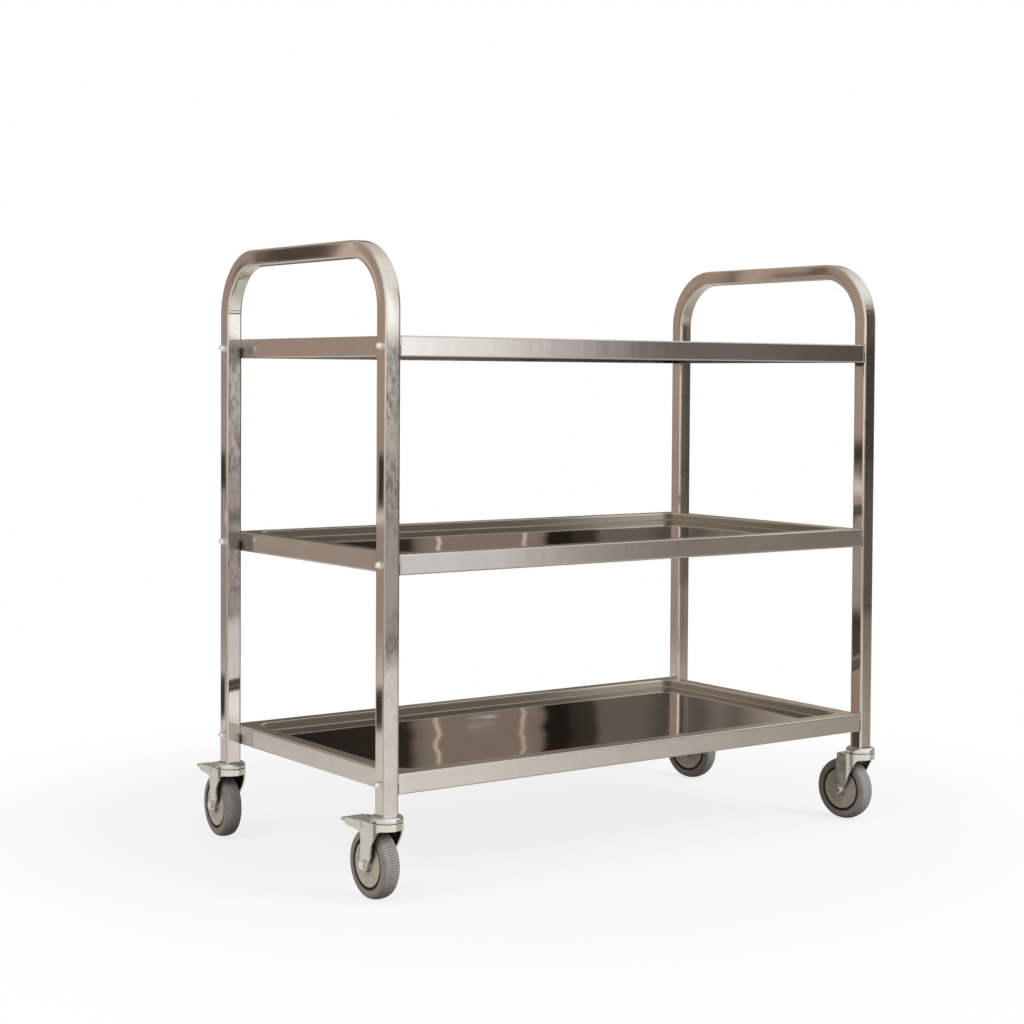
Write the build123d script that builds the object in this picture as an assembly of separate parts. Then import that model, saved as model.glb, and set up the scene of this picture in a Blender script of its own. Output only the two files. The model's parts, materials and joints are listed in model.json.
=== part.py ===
from build123d import *
import math
import os

# Three-tier serving trolley, millimetres, floor at Z 0, length along X, depth along Y, front at -Y.

# End frames: square tube bent to an upside-down U, the top bar is the push handle
FRAME_LENGTH = 964.0      # over the outer faces of the two end frames
FRAME_WIDTH = 496.0       # over the front and rear faces of the posts
HANDLE_HEIGHT = 938.0     # top of the handle bars above the floor
TUBE = 25.0
TUBE_WALL = 1.2
TUBE_CORNER = 2.5         # outside rounding of the tube edges
HANDLE_BEND = 75.0        # inside radius of the handle bends
HANDLE_RISE = 137.0       # handle top above the rim of the top tray

# Trays: rim heights above the floor and the pressed section
MIDDLE_TRAY_HEIGHT = 494.0
BOTTOM_TRAY_HEIGHT = 184.0
SHEET = 1.2
APRON = 30.0              # height of the turned-down edge
APRON_INSET = 0.5         # long aprons behind the post faces
APRON_CORNER = 5.0        # upright bends at the tray corners
EDGE_BEND = 2.5           # outside rounding along rim and apron foot
HEM = 8.0                 # height of the apron's foot that is folded double
RIM = 24.0                # flat land around the sunk floor
PAN_DEPTH = 12.0
PAN_RUN = 8.0             # horizontal run of the sloping pan wall
PAN_CORNER = 30.0
PAN_FLOOR_BEND = 4.0
PAN_RIM_BEND = 3.0

# Pressed seats in the posts that take the tray ends
SEAT_DEPTH = 1.2
SEAT_CLEARANCE = 0.3

# Tray bolts, their heads inside the trays and cap nuts on the outside of the posts
BOLT = 6.0
BOLT_HOLE_CLEARANCE = 0.3
BOLT_DROP = 14.5          # bolt axis below the tray rim
BOLT_HEAD_HEIGHT = 4.0
BOLT_TIP_GAP = 1.0        # left between the bolt and the bottom of the nut's bore
NUT_ACROSS_FLATS = 10.0   # the same for bolt head and cap nut
NUT_HEX_HEIGHT = 3.5
NUT_HEIGHT = 8.5          # over the cap
NUT_CAP = 9.0             # diameter of the round cap
NUT_BORE = 5.0            # depth of the thread
HEX_BEVEL = 0.1           # corner bevel of nuts and bolt heads, as a share of their flats
THREAD_CLEARANCE = 0.05

# Casters: wheel
WHEEL_DIAMETER = 102.0
TYRE_WIDTH = 28.0
TYRE_SEAT = 70.0          # diameter where the tyre sits on the hub
TYRE_CROWN = 3.0          # fall of the tread from its middle to its shoulders
TYRE_SHOULDER = 8.0
HUB_FACE = 66.0
HUB_WIDTH = 25.0
HUB_GROOVE = 3.0          # depth of the ring groove beside the tyre
HUB_DISH = 1.2
HUB_RIM = 5.0             # raised edge around the dished hub face
BOSS = 20.0
BOSS_STANDING = 2.8       # boss in front of the hub face

# Casters: axle
AXLE = 8.0
SLEEVE = 12.0
RUNNING_FIT = 0.05
AXLE_HEAD_ACROSS_FLATS = 13.0
AXLE_HEAD_HEIGHT = 5.0
AXLE_NUT_HEIGHT = 5.0
AXLE_HOLE_CLEARANCE = 0.1

# Casters: fork
TRAIL = 31.5              # axle behind the swivel axis
FORK_SHEET = 2.5
FORK_GAP = 32.0           # clear width between the cheeks
FORK_RING = 48.0          # diameter of the round fork head
FORK_SKIRT = 10.0         # height of the wall around the fork head
FORK_HEAD_ROUND = 1.5
FORK_HEADROOM = 11.5      # from the tyre top to the underside of the fork head
FORK_STEP = 3.0           # fork plate behind the round head, below its top
FORK_PLATE_REAR = 34.0    # rear edge of the fork plate behind the swivel axis
FORK_EYE = 9.0            # radius of the cheek end around the axle
FORK_CHEEK_FRONT = 10.0   # where the cheek leaves the skirt, ahead of the swivel axis
FORK_ARCH = 12.0          # rounding where the cheek leaves the skirt
WING_LENGTH = 52.0        # rear end of the braked fork behind the axle
WING_FALL = 3.5           # drop of the wing's top edge to its rear end
WING_END = 10.0           # height of the wing at its rear end
WING_ROOT_DROP = 19.0     # lower edge of the wing at the leg, below the fork top
WING_ROUND = 3.0
WING_ROOT_ROUND = 10.0

# Casters: swivel bearing, cap and stem
CAP = 48.0
CAP_CROWN = 36.0          # flat top of the cap under the post
CAP_HEIGHT = 8.5
CAP_GAP = 1.0             # open joint between fork head and cap
CAP_SKIRT = 2.5           # height of the cap's upright edge
CAP_WALL = 1.6
RACE_GAP = 3.5            # from the fork top to the underside of the cap
BALL = 5.0
BALL_CIRCLE = 32.0
BALL_COUNT = 16
BALL_SINK = 0.5           # depth of the balls in the fork head
BALL_FORK_CLEARANCE = 0.1
BALL_CAP_CLEARANCE = 0.3
STEM = 12.0
KINGPIN = 10.0
KINGPIN_HEAD = 18.0
KINGPIN_HEAD_HEIGHT = 4.0
KINGPIN_CHAMFER = 2.0
KINGPIN_PLAY = 0.3
SOCKET_HEIGHT = 22.0
SOCKET_CLEARANCE = 0.1

# Brake of the left casters
PIVOT_BACK = 10.0         # pivot pin behind the axle
PIVOT_DROP = 10.2         # pivot pin below the fork top
PIN = 5.0
PIN_HEAD = 8.0
PIN_HEAD_HEIGHT = 1.5
PIN_CLEARANCE = 0.1
PEDAL_SHEET = 2.0
PEDAL_SIDE_CLEARANCE = 0.6
PEDAL_RISE = 2.5          # top of the pedal plate above the pivot
PEDAL_START = 5.0         # front edge of the pedal plate behind the pivot
PEDAL_LENGTH = 48.0
FOOT_WIDTH = 39.0         # bar across the rear end of the pedal, behind the wings
FOOT_HEIGHT = 5.0
FOOT_ROUND = 2.2
FOOT_CLEARANCE = 1.5      # from the wings' rear ends to the bar
PEDAL_EAR = 4.3           # radius of the pedal ears around the pin
PEDAL_EAR_LENGTH = 24.0
PEDAL_TRAVEL = 8.0        # degrees from released to pressed
PAD_START = 8.0           # front face of the pad behind the pivot
PAD_LENGTH = 8.0
PAD_WIDTH = 22.0
PAD_TYRE_CLEARANCE = 0.5  # left between pad and tyre with the pedal pressed

# Swivel angles of the casters as they stand, degrees about Z, 0 trails to the rear
FRONT_LEFT_SWIVEL = 0.0
REAR_LEFT_SWIVEL = -4.5
FRONT_RIGHT_SWIVEL = 6.0
REAR_RIGHT_SWIVEL = 191.0

# Sizes that follow from the ones above
post_x = (FRAME_LENGTH - TUBE) / 2
post_y = (FRAME_WIDTH - TUBE) / 2
wheel_radius = WHEEL_DIAMETER / 2
fork_top = WHEEL_DIAMETER + FORK_HEADROOM + FORK_SHEET
cap_bottom = fork_top + CAP_GAP
post_foot = cap_bottom + CAP_HEIGHT
race_level = fork_top + RACE_GAP
ball_level = fork_top - BALL_SINK + BALL / 2
cheek = FORK_GAP / 2 + FORK_SHEET
pivot = (TRAIL + PIVOT_BACK, fork_top - PIVOT_DROP)
pedal_half = FORK_GAP / 2 - PEDAL_SIDE_CLEARANCE
tray_length = FRAME_LENGTH - 2 * TUBE + 2 * SEAT_DEPTH
tray_width = FRAME_WIDTH - 2 * APRON_INSET
top_tray_height = HANDLE_HEIGHT - HANDLE_RISE
tray_heights = {"top": top_tray_height, "middle": MIDDLE_TRAY_HEIGHT, "bottom": BOTTOM_TRAY_HEIGHT}
post_corners = [(-1, -1), (-1, 1), (1, -1), (1, 1)]


def along_x(radius, start, end, y, z):
    """Round bar along X."""
    return Pos((start + end) / 2, y, z) * Rot(0, 90, 0) * Cylinder(radius, end - start)


def hexagon_along_x(across_flats, start, end, y, z):
    """Hexagonal bar along X with its corners turned off at both ends."""
    height = end - start
    bar = extrude(RegularPolygon(across_flats / 2, 6, major_radius=False), height)
    bevel = HEX_BEVEL * across_flats
    blank = Pos(0, 0, height / 2) * Cylinder(across_flats / 2 + bevel, height)
    turned = chamfer(blank.edges().filter_by(GeomType.CIRCLE), bevel)
    return Pos(start, y, z) * Rot(0, 90, 0) * (bar & turned)


def side_extrusion(face, half_width):
    """Body of a side view, drawn with Y across and Z up, reaching both ways along X."""
    return extrude(Plane.YZ * face, half_width, both=True)


def ring_groove(circle, radius, level):
    """Ring-shaped groove body around the swivel axis."""
    return Pos(0, 0, level) * Torus(circle / 2, radius)


# End frames

def bent_bar(side, corner):
    """Full U-shaped bar around the tube's centre line, standing at X 0."""
    radius = HANDLE_BEND + TUBE / 2
    shoulder = HANDLE_HEIGHT - TUBE / 2 - radius
    section = RectangleRounded(side, side, corner)
    leg = Pos(0, -post_y, post_foot) * extrude(section, shoulder - post_foot)
    bend_axis = Axis((0, radius - post_y, shoulder), (-1, 0, 0))
    bend = revolve(Pos(0, -post_y, shoulder) * section, bend_axis, 90)
    half_bar = extrude(Plane.XZ * section, post_y - radius, both=True)
    bar = Pos(0, 0, HANDLE_HEIGHT - TUBE / 2) * half_bar
    half = leg + bend
    return bar + half + mirror(half, Plane.XZ)


def tray_seat(height, wall):
    """Pressed seat across both posts of a left frame, grown by a wall thickness."""
    floor_x = TUBE / 2 - SEAT_DEPTH
    edge = EDGE_BEND * (2 - math.sqrt(2)) - SEAT_CLEARANCE * math.sqrt(2)
    top = height - edge + wall * (math.sqrt(2) - 1)
    bottom = height - APRON + edge - wall * (math.sqrt(2) - 1)
    deep = floor_x - wall
    mouth = TUBE
    run = mouth - deep
    outline = Polyline((deep, bottom), (deep, top), (mouth, top + run), (mouth, bottom - run), close=True)
    return extrude(Plane.XZ * make_face(outline), FRAME_WIDTH, both=True)


def end_frame():
    """Left end frame, its inner faces towards +X."""
    body = bent_bar(TUBE, TUBE_CORNER)
    hollow = bent_bar(TUBE - 2 * TUBE_WALL, TUBE_CORNER - TUBE_WALL)
    hole = BOLT / 2 + BOLT_HOLE_CLEARANCE
    for height in tray_heights.values():
        body -= tray_seat(height, 0)
        hollow -= tray_seat(height, TUBE_WALL)
    body -= hollow
    for height in tray_heights.values():
        for y in (-post_y, post_y):
            body -= along_x(hole, -TUBE, TUBE, y, height - BOLT_DROP)
    return Pos(-post_x, 0, 0) * body


# Trays

def rounded_block(length, width, height, corner, edge):
    """Block hanging below Z 0 with rounded upright corners and rounded top and bottom edges."""
    block = extrude(RectangleRounded(length, width, corner), -height)
    rims = block.faces().sort_by(Axis.Z)[0].edges() + block.faces().sort_by(Axis.Z)[-1].edges()
    return fillet(rims, edge)


def pan(grow):
    """Sunk floor of a tray below Z 0, grown by a sheet thickness."""
    taper = math.degrees(math.atan2(PAN_RUN, PAN_DEPTH))
    length = tray_length - 2 * RIM + 2 * grow
    width = tray_width - 2 * RIM + 2 * grow
    body = extrude(RectangleRounded(length, width, PAN_CORNER + grow), -PAN_DEPTH - grow, taper=taper)
    return fillet(body.faces().sort_by(Axis.Z)[0].edges(), PAN_FLOOR_BEND + grow)


def tray(height):
    """Pressed tray with its rim at the given height."""
    inner_corner = APRON_CORNER - SHEET
    inner_edge = EDGE_BEND - SHEET
    body = rounded_block(tray_length, tray_width, APRON, APRON_CORNER, EDGE_BEND)
    hollow = Pos(0, 0, -SHEET) * rounded_block(
        tray_length - 2 * SHEET, tray_width - 2 * SHEET, APRON - HEM - SHEET, inner_corner, inner_edge)
    mouth = Pos(0, 0, -APRON / 2) * extrude(
        RectangleRounded(tray_length - 4 * SHEET, tray_width - 4 * SHEET, inner_corner - SHEET), -APRON)
    body -= (hollow + mouth) - pan(SHEET)
    body -= pan(0)
    inside_x = (tray_length - RIM) / 2
    inside_y = (tray_width - RIM) / 2
    rim_edges = body.edges().group_by(Axis.Z)[-1]
    opening = [e for e in rim_edges if abs(e.center().X) < inside_x and abs(e.center().Y) < inside_y]
    body = fillet(opening, PAN_RIM_BEND)
    hole = BOLT / 2 + BOLT_HOLE_CLEARANCE
    for x, y in post_corners:
        end = x * tray_length / 2
        body -= along_x(hole, end - 2 * SHEET, end + 2 * SHEET, y * post_y, -BOLT_DROP)
    return Pos(0, 0, height) * body


def tray_bolt():
    """Bolt along -X from inside the tray, the outer face of the post at X 0."""
    seat = TUBE - SEAT_DEPTH + SHEET
    head = hexagon_along_x(NUT_ACROSS_FLATS, seat, seat + BOLT_HEAD_HEIGHT, 0, 0)
    return head + along_x(BOLT / 2, BOLT_TIP_GAP - NUT_BORE, seat, 0, 0)


def tray_nut():
    """Cap nut on a tray bolt, in the bolt's own frame."""
    cap = NUT_CAP / 2
    bore = BOLT / 2 + THREAD_CLEARANCE
    shoulder = cap - NUT_HEIGHT
    slant = cap * math.sqrt(0.5)
    dome = ThreePointArc((-NUT_HEIGHT, 0), (shoulder - slant, slant), (shoulder, cap))
    rest = Polyline((shoulder, cap), (0, cap), (0, bore), (-NUT_BORE, bore), (-NUT_BORE, 0), (-NUT_HEIGHT, 0))
    turned = revolve(Plane.XZ * make_face([dome, rest]), Axis.X)
    hexagon = hexagon_along_x(NUT_ACROSS_FLATS, -NUT_HEX_HEIGHT, 0, 0, 0)
    return hexagon - along_x((cap + bore) / 2, -NUT_HEIGHT, NUT_HEIGHT, 0, 0) + turned


def at_posts(piece, height):
    """The piece set into all four posts at one tray."""
    spots = []
    for x, y in post_corners:
        turn = Rot(0, 0, 0) if x < 0 else Rot(0, 0, 180)
        spots.append(Pos(x * FRAME_LENGTH / 2, y * post_y, height - BOLT_DROP) * turn * piece)
    return Compound(spots)


# Caster pieces, swivel axis at X 0 and Y 0, trailing towards +Y

def stem_socket():
    side = TUBE - 2 * TUBE_WALL - 2 * SOCKET_CLEARANCE
    corner = TUBE_CORNER - TUBE_WALL + SOCKET_CLEARANCE
    plug = extrude(RectangleRounded(side, side, corner), SOCKET_HEIGHT)
    plug -= Cylinder(STEM / 2 + THREAD_CLEARANCE, 3 * SOCKET_HEIGHT)
    return Pos(0, 0, post_foot) * plug


def swivel_stem():
    """Stem in the socket, kingpin through the fork and riveted head below it."""
    head_top = fork_top - FORK_SHEET - KINGPIN_PLAY
    head_bottom = head_top - KINGPIN_HEAD_HEIGHT
    top = post_foot + SOCKET_HEIGHT
    rim = KINGPIN_HEAD / 2
    outline = Polyline((0, head_bottom), (rim - KINGPIN_CHAMFER, head_bottom),
                       (rim, head_bottom + KINGPIN_CHAMFER), (rim, head_top), (KINGPIN / 2, head_top),
                       (KINGPIN / 2, race_level), (STEM / 2, race_level), (STEM / 2, top), (0, top),
                       close=True)
    return revolve(Plane.XZ * make_face(outline), Axis.Z)


def swivel_cap():
    """Domed cap over the ball race."""
    bore = STEM / 2 + THREAD_CLEARANCE
    edge = cap_bottom + CAP_SKIRT
    dome = TangentArc((CAP / 2, edge), (CAP_CROWN / 2, post_foot), tangent=(0, 1))
    rest = Polyline((CAP_CROWN / 2, post_foot), (bore, post_foot), (bore, race_level),
                    (CAP / 2 - CAP_WALL, race_level), (CAP / 2 - CAP_WALL, cap_bottom),
                    (CAP / 2, cap_bottom), (CAP / 2, edge))
    cap = revolve(Plane.XZ * make_face([dome, rest]), Axis.Z)
    return cap - ring_groove(BALL_CIRCLE, BALL / 2 + BALL_CAP_CLEARANCE, ball_level)


def swivel_balls():
    ball = Pos(BALL_CIRCLE / 2, 0, ball_level) * Sphere(BALL / 2)
    return Compound([Rot(0, 0, i * 360 / BALL_COUNT) * ball for i in range(BALL_COUNT)])


def fork_envelope(wall):
    """Body of the round fork head and the lower plate and cheeks behind it, shrunk by a wall."""
    rear = TRAIL + WING_LENGTH + FORK_RING + wall
    head = extrude(Circle(FORK_RING / 2 - wall), fork_top - wall)
    head = fillet(head.edges().group_by(Axis.Z)[-1], FORK_HEAD_ROUND)
    cheeks = extrude(Pos(0, rear / 2) * Rectangle(2 * (cheek - wall), rear), fork_top - FORK_STEP - wall)
    return head + cheeks


def fork_side(braked):
    """Side view of the fork: skirt, cheek around the axle and, with a brake, the rear wing."""
    axle = wheel_radius
    front = -FORK_RING
    skirt = fork_top - FORK_SKIRT
    above = fork_top + FORK_SHEET
    foot = (-FORK_CHEEK_FRONT, skirt)
    leg = [(TRAIL + FORK_EYE, axle), (TRAIL - FORK_EYE, axle), foot, (front, skirt), (front, above)]
    if braked:
        end = TRAIL + WING_LENGTH
        plate = fork_top - FORK_STEP
        end_top = plate - WING_FALL
        root = (TRAIL + FORK_EYE, fork_top - WING_ROOT_DROP)
        tail = (end, end_top - WING_END)
        points = leg + [(FORK_PLATE_REAR, above), (FORK_PLATE_REAR, plate), (end, end_top), tail, root]
        rounds = {foot: FORK_ARCH, (end, end_top): WING_ROUND, tail: WING_ROUND, root: WING_ROOT_ROUND}
    else:
        points = leg + [(FORK_PLATE_REAR, above)]
        rounds = {foot: FORK_ARCH}
    face = make_face(Polyline(*points, close=True))
    for spot, radius in rounds.items():
        corner = face.vertices().sort_by_distance((spot[0], spot[1], 0))[0]
        face = fillet(corner, radius)
    return face + Pos(TRAIL, axle) * Circle(FORK_EYE)


def fork(braked):
    shell = fork_envelope(0) - fork_envelope(FORK_SHEET)
    body = shell & side_extrusion(fork_side(braked), FORK_RING)
    body -= Pos(0, FORK_PLATE_REAR + FORK_RING, fork_top) * Box(FORK_GAP, 2 * FORK_RING, 4 * FORK_SKIRT)
    body -= along_x(AXLE / 2 + AXLE_HOLE_CLEARANCE, -FORK_RING, FORK_RING, TRAIL, wheel_radius)
    body -= Pos(0, 0, fork_top) * Cylinder(KINGPIN / 2 + RUNNING_FIT, 4 * FORK_SHEET)
    body -= ring_groove(BALL_CIRCLE, BALL / 2 + BALL_FORK_CLEARANCE, ball_level)
    if braked:
        body -= along_x(PIN / 2 + PIN_CLEARANCE, -FORK_RING, FORK_RING, *pivot)
    return body


def axle_bolt():
    head = hexagon_along_x(AXLE_HEAD_ACROSS_FLATS, -cheek - AXLE_HEAD_HEIGHT, -cheek, TRAIL, wheel_radius)
    shank = along_x(AXLE / 2, -cheek, cheek + AXLE_NUT_HEIGHT, TRAIL, wheel_radius)
    return head + shank


def axle_nut():
    nut = hexagon_along_x(AXLE_HEAD_ACROSS_FLATS, cheek, cheek + AXLE_NUT_HEIGHT, TRAIL, wheel_radius)
    return nut - along_x(AXLE / 2 + THREAD_CLEARANCE, 0, FORK_RING, TRAIL, wheel_radius)


def axle_sleeve():
    half = FORK_GAP / 2
    sleeve = along_x(SLEEVE / 2, -half, half, TRAIL, wheel_radius)
    return sleeve - along_x(AXLE / 2 + AXLE_HOLE_CLEARANCE, -FORK_RING, FORK_RING, TRAIL, wheel_radius)


def around_axle(face):
    """Turn a section, drawn with X across and the radius up, about the axle."""
    return Pos(0, TRAIL, wheel_radius) * revolve(Plane.XZ * face, Axis.X)


def wheel_hub():
    bore = SLEEVE / 2 + RUNNING_FIT
    face = HUB_WIDTH / 2
    boss = face + BOSS_STANDING
    dish = face - HUB_DISH
    half = [(boss, bore), (boss, BOSS / 2), (dish, BOSS / 2), (dish, HUB_FACE / 2 - HUB_RIM - HUB_DISH),
            (face, HUB_FACE / 2 - HUB_RIM), (face, HUB_FACE / 2), (face - HUB_GROOVE, HUB_FACE / 2),
            (face - HUB_GROOVE, TYRE_SEAT / 2)]
    other = [(-x, r) for x, r in reversed(half)]
    return around_axle(make_face(Polyline(*half, *other, close=True)))


def tyre():
    half = TYRE_WIDTH / 2
    seat = HUB_WIDTH / 2 - HUB_GROOVE
    shoulder = wheel_radius - TYRE_CROWN
    low = TYRE_SEAT / 2 + HUB_GROOVE
    tread = ThreePointArc((half, shoulder), (0, wheel_radius), (-half, shoulder))
    sides = Polyline((-half, shoulder), (-half, low), (-seat, TYRE_SEAT / 2), (seat, TYRE_SEAT / 2),
                     (half, low), (half, shoulder))
    face = make_face([tread, sides])
    corners = [v for v in face.vertices() if abs(v.Y - shoulder) < 0.1]
    return around_axle(fillet(corners, TYRE_SHOULDER))


# Brake pieces of the left casters

def brake_pin():
    reach = cheek + PIN_HEAD_HEIGHT
    pin = along_x(PIN / 2, -reach, reach, *pivot)
    for start in (-reach, cheek):
        pin += along_x(PIN_HEAD / 2, start, start + PIN_HEAD_HEIGHT, *pivot)
    return pin


def pedal_plate():
    """Pedal plate with a thick rounded bar across its rear end for the foot."""
    y, z = pivot
    top = z + PEDAL_RISE
    start = y + PEDAL_START
    end = start + PEDAL_LENGTH
    foot = TRAIL + WING_LENGTH + FOOT_CLEARANCE
    middle = (foot + end) / 2
    plate = Box(2 * pedal_half, middle - start, PEDAL_SHEET)
    bar = Box(FOOT_WIDTH, end - foot, FOOT_HEIGHT)
    bar = Pos(0, middle, top - FOOT_HEIGHT / 2) * fillet(bar.edges(), FOOT_ROUND)
    return Pos(0, (start + middle) / 2, top - PEDAL_SHEET / 2) * plate + bar


def pedal_ears():
    """Two ears at the sides of the pedal plate that turn on the pin."""
    y, z = pivot
    top = z + PEDAL_RISE
    rear = y + PEDAL_EAR_LENGTH
    side = Polyline((y, z - PEDAL_EAR), (rear, top - PEDAL_SHEET), (rear, top), (y, top), close=True)
    ears = side_extrusion(make_face(side) + Pos(y, z) * Circle(PEDAL_EAR), pedal_half)
    return ears - Pos(0, y, z) * Box(2 * (pedal_half - PEDAL_SHEET), 4 * PEDAL_LENGTH, 4 * PEDAL_LENGTH)


def brake_pedal():
    return pedal_plate() + pedal_ears() - along_x(PIN / 2 + RUNNING_FIT, -FORK_RING, FORK_RING, *pivot)


def brake_pad():
    """Pad under the pedal plate, hollowed to follow the tyre when the pedal is pressed."""
    y, z = pivot
    top = z + PEDAL_RISE - PEDAL_SHEET
    height = top - wheel_radius
    block = Pos(0, y + PAD_START + PAD_LENGTH / 2, top - height / 2) * Box(PAD_WIDTH, PAD_LENGTH, height)
    tyre_space = along_x(wheel_radius + PAD_TYRE_CLEARANCE, -FORK_RING, FORK_RING, TRAIL, wheel_radius)
    released = Axis((0, y, z), (1, 0, 0))
    return block - tyre_space.rotate(released, PEDAL_TRAVEL)


# Assembly

nodes = {}
left = end_frame()
nodes["left_end_frame"] = left
nodes["right_end_frame"] = mirror(left, Plane.YZ)
for name, height in tray_heights.items():
    nodes[name + "_tray"] = tray(height)
    nodes[name + "_tray_bolts"] = at_posts(tray_bolt(), height)
    nodes[name + "_tray_nuts"] = at_posts(tray_nut(), height)

caster_pieces = {
    "stem_socket": stem_socket(), "swivel_stem": swivel_stem(), "swivel_cap": swivel_cap(),
    "swivel_balls": swivel_balls(), "axle_bolt": axle_bolt(), "axle_nut": axle_nut(),
    "axle_sleeve": axle_sleeve(), "wheel_hub": wheel_hub(), "tyre": tyre(),
}
forks = {True: fork(True), False: fork(False)}
brake_pieces = {"brake_pin": brake_pin(), "brake_pedal": brake_pedal(), "brake_pad": brake_pad()}
fixed_pieces = ("stem_socket", "swivel_stem", "swivel_cap")
casters = {
    "front_left": (-1, -1, FRONT_LEFT_SWIVEL, True), "rear_left": (-1, 1, REAR_LEFT_SWIVEL, True),
    "front_right": (1, -1, FRONT_RIGHT_SWIVEL, False), "rear_right": (1, 1, REAR_RIGHT_SWIVEL, False),
}
for corner, (x, y, angle, braked) in casters.items():
    place = Pos(x * post_x, y * post_y, 0)
    pieces = dict(caster_pieces, fork=forks[braked])
    if braked:
        pieces.update(brake_pieces)
    for name, piece in pieces.items():
        turn = Rot(0, 0, 0) if name in fixed_pieces else Rot(0, 0, angle)
        nodes[corner + "_" + name] = place * turn * piece

# Origin in the middle of the footprint, on the floor
boxes = [shape.bounding_box() for shape in nodes.values()]
low_x = min(box.min.X for box in boxes)
high_x = max(box.max.X for box in boxes)
low_y = min(box.min.Y for box in boxes)
high_y = max(box.max.Y for box in boxes)
origin = Pos(-(low_x + high_x) / 2, -(low_y + high_y) / 2, 0)
print("origin shift", origin.position, "length", high_x - low_x, "depth", high_y - low_y)

os.makedirs("parts", exist_ok=True)
for name, shape in nodes.items():
    export_step(origin * shape, "parts/" + name + ".step")
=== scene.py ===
"""Looks of a polished three-tier serving trolley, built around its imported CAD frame, in metres."""

import json
import logging
import math
from dataclasses import dataclass, field
from enum import Enum
from typing import Dict, List, Sequence, Tuple, Union

import bpy
from mathutils import Matrix, Vector


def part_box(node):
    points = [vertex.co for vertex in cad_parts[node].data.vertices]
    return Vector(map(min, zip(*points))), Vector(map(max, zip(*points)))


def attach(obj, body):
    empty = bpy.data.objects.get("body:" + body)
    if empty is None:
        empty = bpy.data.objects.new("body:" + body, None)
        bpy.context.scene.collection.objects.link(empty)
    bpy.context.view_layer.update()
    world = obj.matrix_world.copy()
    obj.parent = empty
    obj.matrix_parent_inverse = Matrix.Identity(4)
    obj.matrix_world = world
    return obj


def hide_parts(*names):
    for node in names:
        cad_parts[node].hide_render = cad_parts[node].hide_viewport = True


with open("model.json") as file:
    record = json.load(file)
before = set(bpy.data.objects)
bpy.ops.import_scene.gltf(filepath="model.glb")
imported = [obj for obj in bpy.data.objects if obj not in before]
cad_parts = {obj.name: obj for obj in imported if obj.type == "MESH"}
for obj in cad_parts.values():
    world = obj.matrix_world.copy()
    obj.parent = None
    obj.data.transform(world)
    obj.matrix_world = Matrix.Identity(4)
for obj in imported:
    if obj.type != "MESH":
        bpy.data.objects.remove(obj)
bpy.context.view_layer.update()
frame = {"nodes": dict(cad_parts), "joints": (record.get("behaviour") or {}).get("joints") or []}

Colour = Tuple[float, float, float]
Span = Tuple[float, float]
Socket = bpy.types.NodeSocket
Feed = Union[float, Sequence[float], Socket]

LOG = logging.getLogger("serving_trolley")
MM = 0.001
FULL_TURN = 2.0 * math.pi
SMOOTH_ANGLE = math.radians(32.0)
MERGE_REACH = 0.001 * MM  # points nearer than this are merged
COLUMN_REACH = 0.01 * MM  # points of one column lie within this
COLUMN_DIGITS = 6
MIX_COLOURS = (6, 7)  # inputs and output of a Mix node that are used for colours
MIX_RESULT = 2
NOISE_SPAN: Span = (0.3, 0.7)  # most of a noise lies in here
OPEN_SAMPLES = 8
WHITE: Colour = (1.0, 1.0, 1.0)


class Tier(Enum):
    """The three trays, by the first word of their nodes."""

    TOP = "top"
    MIDDLE = "middle"
    BOTTOM = "bottom"


class End(Enum):
    """The two end frames, by the first word of their nodes."""

    LEFT = "left"
    RIGHT = "right"


class Corner(Enum):
    """The four casters, by the first words of their nodes."""

    FRONT_LEFT = "front_left"
    REAR_LEFT = "rear_left"
    FRONT_RIGHT = "front_right"
    REAR_RIGHT = "rear_right"

    @property
    def braked(self) -> bool:
        """Only the casters of the left end carry a brake."""
        return self in (Corner.FRONT_LEFT, Corner.REAR_LEFT)


@dataclass(frozen=True)
class Grain:
    """Settings of a noise: repeats per metre, finer layers and their strength, stretch and relief."""

    rate: float
    layers: float = 2.0
    rough: float = 0.5
    stretch: float = 1.0
    depth: float = 0.0


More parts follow.
